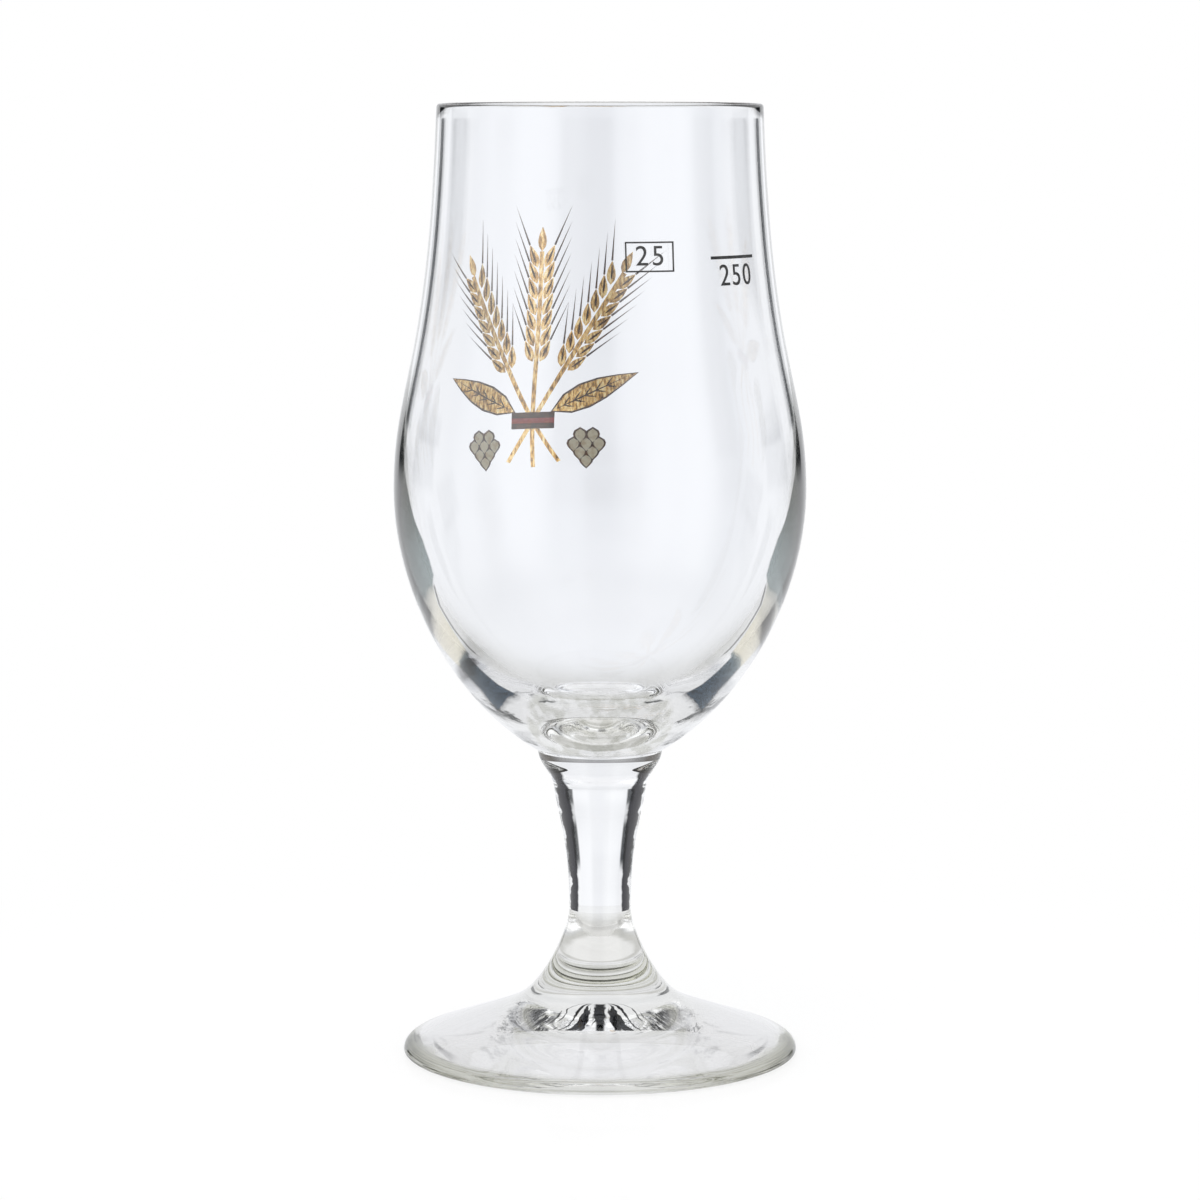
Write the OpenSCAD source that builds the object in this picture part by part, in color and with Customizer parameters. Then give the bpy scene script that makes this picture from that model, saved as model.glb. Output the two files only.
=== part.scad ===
// Tulip beer glass on a stem, with a fired print on the wall.
// Lengths are millimetres. +Z is up and the origin is the middle of the ring that the foot stands on.

/* [Glass] */
// Height from the table to the top of the lip
glass_h = 174.7; // [160:0.1:190]

/* [Bowl outside] */
// Diameter of the mouth, over the lip
rim_d = 59.1; // [56:0.1:62]
// How far the wall leans out while it leaves the lip
neck_lean = 1.74; // [0:0.02:3]
// Widest diameter of the bowl
belly_d = 75.3; // [72:0.1:79]
// Height of the widest place
belly_z = 104.6; // [100:0.2:110]
// Slope of the bowl where it meets the stem, in degrees from level
shoulder_slope = 30.5; // [24:0.1:34]
// Length of the shoulder's pull towards that slope
shoulder_pull = 18.75; // [14:0.25:21]

/* [Bowl inside] */
// Thickness of the wall at the lip
lip_t = 1.4; // [1:0.1:2]
// Thickness of the wall where the inside is widest
belly_wall = 2.2; // [1.6:0.1:3]
// Height of the inside's widest place above the outside's
bore_rise = 6.5; // [3:0.5:9]
// How far the inside leans out while it leaves the lip
bore_lean = 1; // [0:0.05:1.5]
// Thickness of the glass over the stem
base_t = 6.25; // [4:0.25:9]

/* [Stem] */
// Diameter of the joint under the bowl
joint_d = 22.8; // [21:0.2:26]
// Height of that joint
joint_z = 56.7; // [54:0.1:60]
// Drop of the rounded shoulder at the top of the stem
collar_drop = 2.7; // [1.5:0.1:4]
// Diameter where the collar runs into the shaft
knee_d = 16.9; // [14:0.1:19]
// Height of that place
knee_z = 49.5; // [46:0.1:52]
// Lean of the shaft under the collar, in degrees
shaft_lean = 4.5; // [2:0.5:8]
// Diameter of the waist
waist_d = 11.3; // [10:0.1:13]
// Height of the waist, where the stem is stuck to the foot
waist_z = 27; // [25:0.5:30]

/* [Foot] */
// Diameter of the foot
foot_d = 72.7; // [68:0.1:78]
// Diameter where the flare turns into the cone
flare_d = 28; // [24:0.5:32]
// Height of that place
flare_z = 11.1; // [10:0.1:12.4]
// Slope of the foot there, in degrees
flare_slope = 39.5; // [34:0.5:46]
// Slope of the cone at the edge, in degrees
cone_slope = 19.5; // [14:0.5:24]
// Height of the cone's outer end
edge_z = 2.8; // [2:0.1:3.4]
// Distance from that end to the foot's outer edge
edge_round = 1.7; // [1:0.1:2.6]
// Height of the widest place of the edge
edge_belly = 0.85; // [0.6:0.05:1.3]
// Distance from the foot's outer edge to the ring that it stands on
ring_inset = 2.3; // [1.5:0.1:3.5]
// Width of that ring
ring_w = 1.2; // [0.8:0.1:2]
// Height of the hollow under the foot, in the middle
hollow_h = 6.2; // [5:0.1:9]
// Diameter of the hollow's level middle
hollow_d = 7; // [4:0.5:16]
// Slope of the hollow at the ring, in degrees
hollow_slope = 13.5; // [8:0.5:16]

/* [Prints] */
// Thickness of a fired layer
print_t = 0.06; // [0.04:0.01:0.1]
// Drop from the top of the lip to the middle of the fill line
fill_drop = 26.75; // [19:0.25:34]
// Width of the fill line
fill_w = 0.55; // [0.4:0.05:0.8]
// Direction of the fill line's middle, in degrees from +X
fill_turn = 319; // [300:1:340]
// Length of the fill line along the wall
fill_len = 11.5; // [8:0.5:16]
// Direction of the middle of the barley sheaf, in degrees from +X
sheaf_turn = 111; // [90:1:130]
// Height of the tie of the sheaf above the bowl's widest place
tie_rise = 9.2; // [7:0.1:12]
// Width of the tie
tie_w = 9; // [7:0.5:11]
// Height of the tie's band
tie_h = 3.6; // [3:0.1:4]
// Height of the red stripe on the tie
stripe_h = 1.1; // [0.8:0.1:1.5]

/* [Barley] */
// Length of the straw from the tie to the first grain
straw_len = 12; // [10:0.5:14]
// Width of a straw
straw_w = 0.9; // [0.6:0.1:1.2]
// Pairs of grains on an ear
grain_pairs = 7; // [5:1:8]
// Distance from one pair to the next
grain_step = 3; // [2.8:0.1:3.2]
// Length of a grain
grain_len = 4.6; // [4:0.1:5]
// Width of a grain
grain_w = 1.8; // [1.4:0.1:2]
// Turn of a grain away from its ear, in degrees
grain_turn = 24; // [20:1:30]
// Gap from the middle of the ear to the foot of a grain
grain_gap = 0.75; // [0.6:0.05:1]
// Length of an awn past its grain
awn_len = 8; // [5:0.5:10]
// Width of an awn at its foot
awn_w = 0.4; // [0.3:0.05:0.5]
// Spread of the outer ears, in degrees
ear_spread = 29; // [25:1:33]
// Length of the straw's cut end under the tie
stub_len = 9.5; // [7:0.5:11]

/* [Leaves and hops] */
// Length of a leaf
leaf_len = 17.5; // [14:0.5:19]
// Width of a leaf
leaf_w = 4.6; // [3.6:0.1:5]
// Spread of the leaves, in degrees
leaf_spread = 64; // [60:1:68]
// Width of the brown line round a leaf or a scale
line_w = 0.4; // [0.3:0.05:0.5]
// Distance from the middle of the sheaf to a hop cone
hop_reach = 11; // [10:0.5:13]
// Drop from the tie's middle to the top of a hop cone
hop_drop = 2; // [1:0.5:3]
// Rows of scales on a hop cone
hop_rows = 4; // [3:1:5]
// Length of a scale of the hop cone
scale_len = 3.2; // [2.6:0.1:3.6]
// Width of a scale
scale_w = 2.1; // [1.7:0.1:2.4]
// Distance between scales in a row
scale_step = 2.5; // [2.4:0.1:2.8]
// Distance from one row of scales to the next
row_step = 2.1; // [1.8:0.1:2.4]

/* [Hidden] */
$fn = 96;

// Steps of a long curve and of a short one
long_steps = 22;
short_steps = 8;

// Handle lengths of the bowl's curves, as shares of the height that each curve spans
neck_share = 0.69;
over_belly_share = 0.285;
under_belly_share = 0.371;
bore_neck_share = 0.66;
bore_over_share = 0.2;
bore_under_share = 0.7;
bore_floor_share = 0.37;
// Handles of the stem and the foot, as shares of the height or the reach that each curve spans
collar_share = 0.435;
shaft_top_share = 0.15;
shaft_foot_share = 0.58;
flare_top_share = 0.195;
flare_foot_share = 0.385;
cone_top_share = 0.155;
cone_foot_share = 0.7;
hollow_edge_share = 0.45;
hollow_roof_share = 0.3;
// Handle that makes a quarter of a circle, as a share of its radius
round_share = 0.5523;

rim_r = rim_d / 2;
belly_r = belly_d / 2;
joint_r = joint_d / 2;
knee_r = knee_d / 2;
waist_r = waist_d / 2;
foot_r = foot_d / 2;
flare_r = flare_d / 2;
hollow_r = hollow_d / 2;
lip_r = lip_t / 2;
lip_z = glass_h - lip_r;
bore_r = belly_r - belly_wall;
bore_z = belly_z + bore_rise;
floor_z = joint_z + base_t;
fill_z = glass_h - fill_drop;
tie_z = belly_z + tie_rise;
edge_r = foot_r - edge_round;
ring_r = foot_r - ring_inset;
ring_in_r = ring_r - ring_w;

// A point on the curve with ends p[0] and p[3] and handles p[1] and p[2]
function bezier(p, t) =
    pow(1 - t, 3) * p[0] + 3 * pow(1 - t, 2) * t * p[1]
    + 3 * (1 - t) * t * t * p[2] + pow(t, 3) * p[3];
// The curve's points, without its last one
function curve(p, steps) = [for (i = [0 : steps - 1]) bezier(p, i / steps)];
// A point at a distance and a direction from another
function along(p, distance, direction) =
    p + distance * [cos(direction), sin(direction)];

// Outlines are lists of [radius, height] points
neck_span = lip_z - belly_z;
neck_curve = [
    [rim_r, lip_z],
    [rim_r + neck_lean, lip_z - neck_share * neck_span],
    [belly_r, belly_z + over_belly_share * neck_span],
    [belly_r, belly_z]
];
shoulder_curve = [
    [belly_r, belly_z],
    [belly_r, belly_z - under_belly_share * (belly_z - joint_z)],
    along([joint_r, joint_z], shoulder_pull, shoulder_slope),
    [joint_r, joint_z]
];
bore_span = lip_z - bore_z;
bore_neck_curve = [
    [rim_r - lip_t, lip_z],
    [rim_r - lip_t + bore_lean, lip_z - bore_neck_share * bore_span],
    [bore_r, bore_z + bore_over_share * bore_span],
    [bore_r, bore_z]
];
bore_floor_curve = [
    [bore_r, bore_z],
    [bore_r, bore_z - bore_under_share * (bore_z - floor_z)],
    [bore_floor_share * bore_r, floor_z],
    [0, floor_z]
];
lip_arc = [for (i = [1 : short_steps - 1])
    along([rim_r - lip_r, lip_z], lip_r, 180 - 180 * i / short_steps)];

collar_curve = [
    [joint_r, joint_z],
    [joint_r, joint_z - collar_drop],
    along([knee_r, knee_z], collar_share * (joint_z - knee_z), 90 - shaft_lean),
    [knee_r, knee_z]
];
shaft_curve = [
    [knee_r, knee_z],
    along([knee_r, knee_z], shaft_top_share * (knee_z - waist_z), 270 - shaft_lean),
    [waist_r, waist_z + shaft_foot_share * (knee_z - waist_z)],
    [waist_r, waist_z]
];

flare_span = waist_z - flare_z;
cone_span = edge_r - flare_r;
flare_curve = [
    [waist_r, waist_z],
    [waist_r, waist_z - flare_top_share * flare_span],
    along([flare_r, flare_z], flare_foot_share * flare_span, 180 - flare_slope),
    [flare_r, flare_z]
];
cone_curve = [
    [flare_r, flare_z],
    along([flare_r, flare_z], cone_top_share * cone_span, -flare_slope),
    along([edge_r, edge_z], cone_foot_share * cone_span, 180 - cone_slope),
    [edge_r, edge_z]
];
edge_curve = [
    [edge_r, edge_z],
    along([edge_r, edge_z], round_share * edge_round, -cone_slope),
    [foot_r, edge_belly + round_share * (edge_z - edge_belly)],
    [foot_r, edge_belly]
];
under_curve = [
    [foot_r, edge_belly],
    [foot_r, (1 - round_share) * edge_belly],
    [ring_r + round_share * ring_inset, 0],
    [ring_r, 0]
];
hollow_curve = [
    [ring_in_r, 0],
    along([ring_in_r, 0], hollow_edge_share * (ring_in_r - hollow_r), 180 - hollow_slope),
    [hollow_r + hollow_roof_share * (ring_in_r - hollow_r), hollow_h],
    [hollow_r, hollow_h]
];

// The bowl's outer wall from the lip down to the stem
outer_wall = concat(curve(neck_curve, long_steps), curve(shoulder_curve, long_steps), [[joint_r, joint_z]]);

// The cavity from the lip down to the middle of its floor
cavity = concat(curve(bore_neck_curve, long_steps), curve(bore_floor_curve, long_steps), [[0, floor_z]]);

// Bowl: blown glass with a rounded lip and a thick floor
module bowl()
    color("gainsboro", 0.5)
    rotate_extrude()
    polygon(concat(
        outer_wall,
        [[0, joint_z]],
        [for (i = [0 : len(cavity) - 1]) cavity[len(cavity) - 1 - i]],
        lip_arc));

// Stem: one pressed solid with a collar at its top
module stem()
    color("silver", 0.5)
    rotate_extrude()
    polygon(concat(
        curve(collar_curve, short_steps),
        curve(shaft_curve, long_steps),
        [[waist_r, waist_z], [0, waist_z], [0, joint_z]]));

// Foot: a flare and a cone over a shallow hollow, standing on a narrow ring
module foot()
    color("lightgray", 0.5)
    rotate_extrude()
    polygon(concat(
        curve(flare_curve, long_steps),
        curve(cone_curve, long_steps),
        curve(edge_curve, short_steps),
        curve(under_curve, short_steps),
        [[ring_r, 0]],
        curve(hollow_curve, long_steps),
        [[hollow_r, hollow_h], [0, hollow_h], [0, waist_z]]));

// The wall's radius at a height, read along its straight pieces
function wall_r(z, i = 0) =
    z >= outer_wall[i + 1][1]
        ? outer_wall[i + 1][0] + (outer_wall[i][0] - outer_wall[i + 1][0])
            * (z - outer_wall[i + 1][1]) / (outer_wall[i][1] - outer_wall[i + 1][1])
        : wall_r(z, i + 1);

// A thin layer all round the outside of the bowl
module skin()
    rotate_extrude()
    polygon(concat(
        outer_wall,
        [for (i = [0 : len(outer_wall) - 1]) outer_wall[len(outer_wall) - 1 - i] + [print_t, 0]]));

// How far a stamp reaches into the wall and out of it
stamp_reach = 12;
// Cuts the skin with a flat outline, given at a height and a distance along the wall
module stamp(turn, across, z)
    rotate([0, 0, turn + across / wall_r(z) * 180 / PI])
    translate([wall_r(z) - stamp_reach, 0, z])
    rotate([90, 0, 90])
    linear_extrude(2 * stamp_reach)
    children();

// Fill line: a short level band
module fill_line()
    color("black")
    intersection() {
        skin();
        stamp(fill_turn, 0, fill_z)
            translate([-fill_len / 2, -fill_w / 2])
            square([fill_len, fill_w]);
    }

// A pointed oval from the origin upwards
blade_steps = 5;
blade_share = 0.75;
module blade(length, width)
    polygon(concat(
        [for (i = [0 : blade_steps]) blade_point(length, width, i / blade_steps)],
        [for (i = [1 : blade_steps - 1]) blade_point(length, -width, 1 - i / blade_steps)]));
function blade_point(length, width, t) =
    [width / 2 * sin(180 * pow(t, blade_share)), length * t];

// Where the ear with the given lean stands, at a distance from the tie: [across, z]
function ear_point(lean, distance) = [distance * sin(lean), tie_z + distance * cos(lean)];

// One ear of barley in gold: its straw, its grains in pairs and the grain at the tip
module ear(lean) {
    ear_len = straw_len + grain_pairs * grain_step;
    stamp_on_ear(lean, tie_h / 2)
        translate([-straw_w / 2, 0])
        square([straw_w, ear_len - tie_h / 2]);
    for (i = [0 : grain_pairs - 1], side = [-1, 1])
        stamp_on_ear(lean, straw_len + i * grain_step)
            translate([side * grain_gap, 0])
            rotate(-side * grain_turn)
            blade(grain_len, grain_w);
    stamp_on_ear(lean, ear_len)
        blade(grain_len, grain_w);
}

// Puts a flat outline on the line of an ear, leaning with it
module stamp_on_ear(lean, distance) {
    p = ear_point(lean, distance);
    stamp(sheaf_turn, p[0], p[1])
        rotate(-lean)
        children();
}

// Both leaves, each grown outwards by the given margin
module leaves(margin)
    for (side = [-1, 1])
        stamp_on_ear(side * leaf_spread, tie_w / 2 - margin)
            blade(leaf_len + 2 * margin, leaf_w + 2 * margin);

// Scales in a row of a hop cone, counted from its top: more at first, then fewer down to one
function scales_in(row) = min(row + 2, hop_rows - row);
// Both hop cones, each scale grown outwards by the given margin
module hops(margin)
    for (side = [-1, 1], row = [0 : hop_rows - 1], i = [0 : scales_in(row) - 1])
        stamp(
            sheaf_turn,
            side * hop_reach + (i - (scales_in(row) - 1) / 2) * scale_step,
            tie_z - hop_drop - row * row_step)
            translate([0, margin])
            rotate(180)
            blade(scale_len + 2 * margin, scale_w + 2 * margin);

leans = [-ear_spread, 0, ear_spread];
// Gold print: the ears, the straws' cut ends and two leaves
module gold_print()
    color("goldenrod")
    intersection() {
        skin();
        union() {
            for (lean = leans) {
                ear(lean);
                stamp_on_ear(lean, -tie_h / 2 - stub_len)
                    translate([-straw_w / 2, 0])
                    square([straw_w, stub_len]);
            }
            leaves(0);
        }
    }

// Brown print: the tie, the awns that run on from the grains, and the lines round leaves and scales
module brown_print()
    color("saddlebrown")
    intersection() {
        skin();
        union() {
            difference() {
                band(tie_h);
                band(stripe_h);
            }
            difference() {
                leaves(line_w);
                leaves(0);
                band(tie_h);
            }
            difference() {
                hops(line_w);
                hops(0);
            }
            for (lean = leans, i = [0 : grain_pairs - 1], side = [-1, 1])
                stamp_on_ear(lean, straw_len + i * grain_step)
                    translate([side * grain_gap, 0])
                    rotate(-side * grain_turn)
                    translate([0, grain_len])
                    polygon([[-awn_w / 2, 0], [awn_w / 2, 0], [0, awn_len]]);
        }
    }

// A level band across the tie
module band(height)
    stamp(sheaf_turn, 0, tie_z)
        translate([-tie_w / 2, -height / 2])
        square([tie_w, height]);

// Cream print: the scales of the hop cones
module cream_print()
    color("beige")
    intersection() {
        skin();
        hops(0);
    }

// Red print: the stripe on the tie
module red_print()
    color("firebrick")
    intersection() {
        skin();
        band(stripe_h);
    }

bowl();
stem();
foot();
gold_print();
brown_print();
cream_print();
red_print();
fill_line();
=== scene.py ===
"""Tulip beer glass: smooth glass, fired prints and a plain bright studio round them."""

import math

import bmesh
import bpy
from mathutils import Matrix, Vector
from mathutils.geometry import interpolate_bezier

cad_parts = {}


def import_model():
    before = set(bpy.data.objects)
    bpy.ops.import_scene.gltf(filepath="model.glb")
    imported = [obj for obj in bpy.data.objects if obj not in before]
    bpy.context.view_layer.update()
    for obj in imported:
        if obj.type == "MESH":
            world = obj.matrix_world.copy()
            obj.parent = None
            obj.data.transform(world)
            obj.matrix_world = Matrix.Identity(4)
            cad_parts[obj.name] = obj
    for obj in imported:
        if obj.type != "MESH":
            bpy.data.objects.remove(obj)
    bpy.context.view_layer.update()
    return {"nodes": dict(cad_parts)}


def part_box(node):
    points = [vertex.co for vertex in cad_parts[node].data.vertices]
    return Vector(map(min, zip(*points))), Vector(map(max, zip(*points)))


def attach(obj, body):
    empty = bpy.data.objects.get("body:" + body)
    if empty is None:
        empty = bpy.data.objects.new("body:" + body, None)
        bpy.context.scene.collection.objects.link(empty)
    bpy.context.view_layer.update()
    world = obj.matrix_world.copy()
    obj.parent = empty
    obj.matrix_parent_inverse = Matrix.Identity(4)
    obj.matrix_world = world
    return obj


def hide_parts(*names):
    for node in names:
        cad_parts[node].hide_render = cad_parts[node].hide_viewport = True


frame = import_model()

# Lengths below are written in millimetres and turned into metres by this factor
MM = 0.001
# Steps of every turned piece round its axis, and of a long and a short curve
TURN_STEPS = 192
LONG_STEPS = 56
SHORT_STEPS = 10
# Edges that bend more than this, in degrees, stay sharp
SHARP_ANGLE = 35
# Points that are closer than this are merged, and heights that are closer than this are the same
MERGE_DIST = MM / 1000
LEVEL_DIST = MM / 100

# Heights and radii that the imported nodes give
GLASS_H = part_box("bowl")[1].z
JOINT_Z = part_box("stem")[1].z
WAIST_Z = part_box("stem")[0].z
FOOT_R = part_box("foot")[1].x

# Bowl, from its lip to the stem
RIM_R = 29.55 * MM
NECK_LEAN = 1.74 * MM
BELLY_R = 37.65 * MM
BELLY_Z = 104.6 * MM
JOINT_R = 11.4 * MM
SHOULDER_SLOPE = 30.5
SHOULDER_PULL = 18.75 * MM
LIP_T = 1.4 * MM
BELLY_WALL = 2.2 * MM
BORE_RISE = 6.5 * MM
BORE_LEAN = 1 * MM
BASE_T = 6.25 * MM

# Stem
COLLAR_DROP = 2.7 * MM
KNEE_R = 8.45 * MM
KNEE_Z = 49.5 * MM
SHAFT_LEAN = 4.5
WAIST_R = 5.65 * MM

# Foot
FLARE_R = 14 * MM
FLARE_Z = 11.1 * MM
FLARE_SLOPE = 39.5
CONE_SLOPE = 19.5
EDGE_Z = 2.8 * MM
EDGE_ROUND = 1.7 * MM
EDGE_BELLY = 0.85 * MM
RING_INSET = 2.3 * MM
RING_W = 1.2 * MM
HOLLOW_H = 6.2 * MM
HOLLOW_R = 3.5 * MM
HOLLOW_SLOPE = 13.5

# Handle lengths of the bowl's curves, as shares of the height or the reach that each curve spans
NECK_SHARE = 0.69
OVER_BELLY_SHARE = 0.285
UNDER_BELLY_SHARE = 0.371
BORE_NECK_SHARE = 0.66
BORE_OVER_SHARE = 0.2
BORE_UNDER_SHARE = 0.7
BORE_FLOOR_SHARE = 0.37
# Handles of the stem and the foot, as shares of the height or the reach that each curve spans
COLLAR_SHARE = 0.435
SHAFT_TOP_SHARE = 0.15
SHAFT_FOOT_SHARE = 0.58
FLARE_TOP_SHARE = 0.195
FLARE_FOOT_SHARE = 0.385
CONE_TOP_SHARE = 0.155
CONE_FOOT_SHARE = 0.7
HOLLOW_EDGE_SHARE = 0.45
HOLLOW_ROOF_SHARE = 0.3
# Handle that makes a quarter of a circle, as a share of its radius
ROUND_SHARE = 0.5523


def along(start, distance, direction):
    """The point at a distance and a direction in degrees from another, as (radius, height)."""
    turn = math.radians(direction)
    return (start[0] + distance * math.cos(turn), start[1] + distance * math.sin(turn))


def curve(start, pull, push, end, steps):
    """Points of the curve from start to end with the handles pull and push, without its last one."""
    knots = [Vector((x, 0, z)) for x, z in (start, pull, push, end)]
    return interpolate_bezier(*knots, steps + 1)[:-1]


def between(a, b, share):
    """The value at a share of the way from a to b."""
    return a + (b - a) * share


def outer_wall():
    """The bowl's outside from the lip down to the stem."""
    lip_z = GLASS_H - LIP_T / 2
    neck = curve(
        (RIM_R, lip_z),
        (RIM_R + NECK_LEAN, between(lip_z, BELLY_Z, NECK_SHARE)),
        (BELLY_R, between(BELLY_Z, lip_z, OVER_BELLY_SHARE)),
        (BELLY_R, BELLY_Z),
        LONG_STEPS)
    shoulder = curve(
        (BELLY_R, BELLY_Z),
        (BELLY_R, between(BELLY_Z, JOINT_Z, UNDER_BELLY_SHARE)),
        along((JOINT_R, JOINT_Z), SHOULDER_PULL, SHOULDER_SLOPE),
        (JOINT_R, JOINT_Z),
        LONG_STEPS)
    return neck + shoulder + [Vector((JOINT_R, 0, JOINT_Z))]


def cavity():
    """The bowl's inside from the lip down to the middle of its floor."""
    lip_z = GLASS_H - LIP_T / 2
    bore_r = BELLY_R - BELLY_WALL
    bore_z = BELLY_Z + BORE_RISE
    floor_z = JOINT_Z + BASE_T
    neck = curve(
        (RIM_R - LIP_T, lip_z),
        (RIM_R - LIP_T + BORE_LEAN, between(lip_z, bore_z, BORE_NECK_SHARE)),
        (bore_r, between(bore_z, lip_z, BORE_OVER_SHARE)),
        (bore_r, bore_z),
        LONG_STEPS)
    bottom = curve(
        (bore_r, bore_z),
        (bore_r, between(bore_z, floor_z, BORE_UNDER_SHARE)),
        (BORE_FLOOR_SHARE * bore_r, floor_z),
        (0, floor_z),
        LONG_STEPS)
    return neck + bottom + [Vector((0, 0, floor_z))]


def lip():
    """The rounded lip from the inside over to the outside, without its ends."""
    middle = (RIM_R - LIP_T / 2, GLASS_H - LIP_T / 2)
    turns = [180 - 180 * i / SHORT_STEPS for i in range(1, SHORT_STEPS)]
    return [Vector((x, 0, z)) for x, z in (along(middle, LIP_T / 2, turn) for turn in turns)]


def stem_outline():
    """The stem's outside from the bowl down to the waist."""
    collar = curve(
        (JOINT_R, JOINT_Z),
        (JOINT_R, JOINT_Z - COLLAR_DROP),
        along((KNEE_R, KNEE_Z), COLLAR_SHARE * (JOINT_Z - KNEE_Z), 90 - SHAFT_LEAN),
        (KNEE_R, KNEE_Z),
        LONG_STEPS)
    shaft = curve(
        (KNEE_R, KNEE_Z),
        along((KNEE_R, KNEE_Z), SHAFT_TOP_SHARE * (KNEE_Z - WAIST_Z), 270 - SHAFT_LEAN),
        (WAIST_R, between(WAIST_Z, KNEE_Z, SHAFT_FOOT_SHARE)),
        (WAIST_R, WAIST_Z),
        LONG_STEPS)
    return collar + shaft + [Vector((WAIST_R, 0, WAIST_Z))]


def foot_outline():
    """The foot's outside from the waist down to the ring, and up through the hollow."""
    edge_r = FOOT_R - EDGE_ROUND
    ring_r = FOOT_R - RING_INSET
    inner_r = ring_r - RING_W
    flare = curve(
        (WAIST_R, WAIST_Z),
        (WAIST_R, between(WAIST_Z, FLARE_Z, FLARE_TOP_SHARE)),
        along((FLARE_R, FLARE_Z), FLARE_FOOT_SHARE * (WAIST_Z - FLARE_Z), 180 - FLARE_SLOPE),
        (FLARE_R, FLARE_Z),
        LONG_STEPS)
    cone = curve(
        (FLARE_R, FLARE_Z),
        along((FLARE_R, FLARE_Z), CONE_TOP_SHARE * (edge_r - FLARE_R), -FLARE_SLOPE),
        along((edge_r, EDGE_Z), CONE_FOOT_SHARE * (edge_r - FLARE_R), 180 - CONE_SLOPE),
        (edge_r, EDGE_Z),
        LONG_STEPS)
    edge = curve(
        (edge_r, EDGE_Z),
        along((edge_r, EDGE_Z), ROUND_SHARE * EDGE_ROUND, -CONE_SLOPE),
        (FOOT_R, between(EDGE_BELLY, EDGE_Z, ROUND_SHARE)),
        (FOOT_R, EDGE_BELLY),
        SHORT_STEPS)
    under = curve(
        (FOOT_R, EDGE_BELLY),
        (FOOT_R, (1 - ROUND_SHARE) * EDGE_BELLY),
        (ring_r + ROUND_SHARE * RING_INSET, 0),
        (ring_r, 0),
        SHORT_STEPS)
    hollow = curve(
        (inner_r, 0),
        along((inner_r, 0), HOLLOW_EDGE_SHARE * (inner_r - HOLLOW_R), 180 - HOLLOW_SLOPE),
        (between(HOLLOW_R, inner_r, HOLLOW_ROOF_SHARE), HOLLOW_H),
        (HOLLOW_R, HOLLOW_H),
        LONG_STEPS)
    roof = [Vector((HOLLOW_R, 0, HOLLOW_H)), Vector((0, 0, HOLLOW_H))]
    return flare + cone + edge + under + [Vector((ring_r, 0, 0))] + hollow + roof


def turned(name, outline):
    """A solid of glass turned about the upright axis from an outline."""
    bm = bmesh.new()
    verts = [bm.verts.new(point) for point in outline]
    pairs = zip(verts, verts[1:] + verts[:1])
    edges = [bm.edges.new(pair) for pair in pairs if max(v.co.x for v in pair) > 0]
    bmesh.ops.spin(
        bm, geom=verts + edges, cent=(0, 0, 0), axis=(0, 0, 1),
        angle=math.tau, steps=TURN_STEPS, use_merge=True)
    bmesh.ops.remove_doubles(bm, verts=bm.verts, dist=MERGE_DIST)
    bmesh.ops.recalc_face_normals(bm, faces=bm.faces)
    return finished(name, bm)


def finished(name, bm):
    """A smooth piece that rides on the glass, from its mesh."""
    mesh = bpy.data.meshes.new(name)
    bm.to_mesh(mesh)
    bm.free()
    mesh.polygons.foreach_set("use_smooth", [True] * len(mesh.polygons))
    mesh.set_sharp_from_angle(angle=math.radians(SHARP_ANGLE))
    piece = bpy.data.objects.new(name, mesh)
    bpy.context.scene.collection.objects.link(piece)
    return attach(piece, "root")


def fuse(piece, heights):
    """Gives the level faces at the heights where pieces are fused the clear contact material."""
    for face in piece.data.polygons:
        if any(abs(face.center.z - z) < LEVEL_DIST for z in heights):
            face.material_index = 1


def add(tree, kind, *values, **settings):
    """A new node with its settings, and its first inputs as values or as the sockets that feed them."""
    made = tree.nodes.new(kind)
    for name, value in settings.items():
        setattr(made, name, value)
    for socket, value in zip(made.inputs, values):
        if isinstance(value, bpy.types.NodeSocket):
            tree.links.new(value, socket)
        elif value is not None:
            socket.default_value = value
    return made


def feed(tree, node, **values):
    """Sets a node's inputs by name, each to a value or from the socket that feeds it."""
    for name, value in values.items():
        socket = node.inputs[name.replace("_", " ")]
        if isinstance(value, bpy.types.NodeSocket):
            tree.links.new(value, socket)
        else:
            socket.default_value = value
    return node


def maths(tree, operation, *values, **settings):
    """The result of a Math node."""
    return add(tree, "ShaderNodeMath", *values, operation=operation, **settings).outputs[0]


def product(tree, first, *others):
    """Values multiplied with each other."""
    for other in others:
        first = maths(tree, "MULTIPLY", first, other)
    return first


def less(tree, share):
    """What a share leaves of one."""
    return maths(tree, "SUBTRACT", 1, share)


def step_up(tree, value, low, high):
    """Nought below low and one above high, with a soft step between them."""
    made = add(tree, "ShaderNodeMapRange", value, low, high, interpolation_type="SMOOTHSTEP")
    return made.outputs[0]


def step_down(tree, value, low, high):
    """One below low and nought above high, with a soft step between them."""
    return less(tree, step_up(tree, value, low, high))


def window(tree, value, low, high, soft):
    """One between low and high, and nought outside them, with soft ends."""
    rise = step_up(tree, value, low - soft, low + soft)
    return product(tree, rise, step_down(tree, value, high - soft, high + soft))


def blended(tree, share, first, second):
    """A colour that is the first at share nought and the second at share one."""
    made = add(tree, "ShaderNodeMix", share, data_type="RGBA")
    # A Mix node keeps its two colours in inputs 6 and 7, and gives the blend in output 2
    for socket, value in ((made.inputs[6], first), (made.inputs[7], second)):
        if isinstance(value, bpy.types.NodeSocket):
            tree.links.new(value, socket)
        else:
            socket.default_value = (*value, 1)
    return made.outputs[2]


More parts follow.
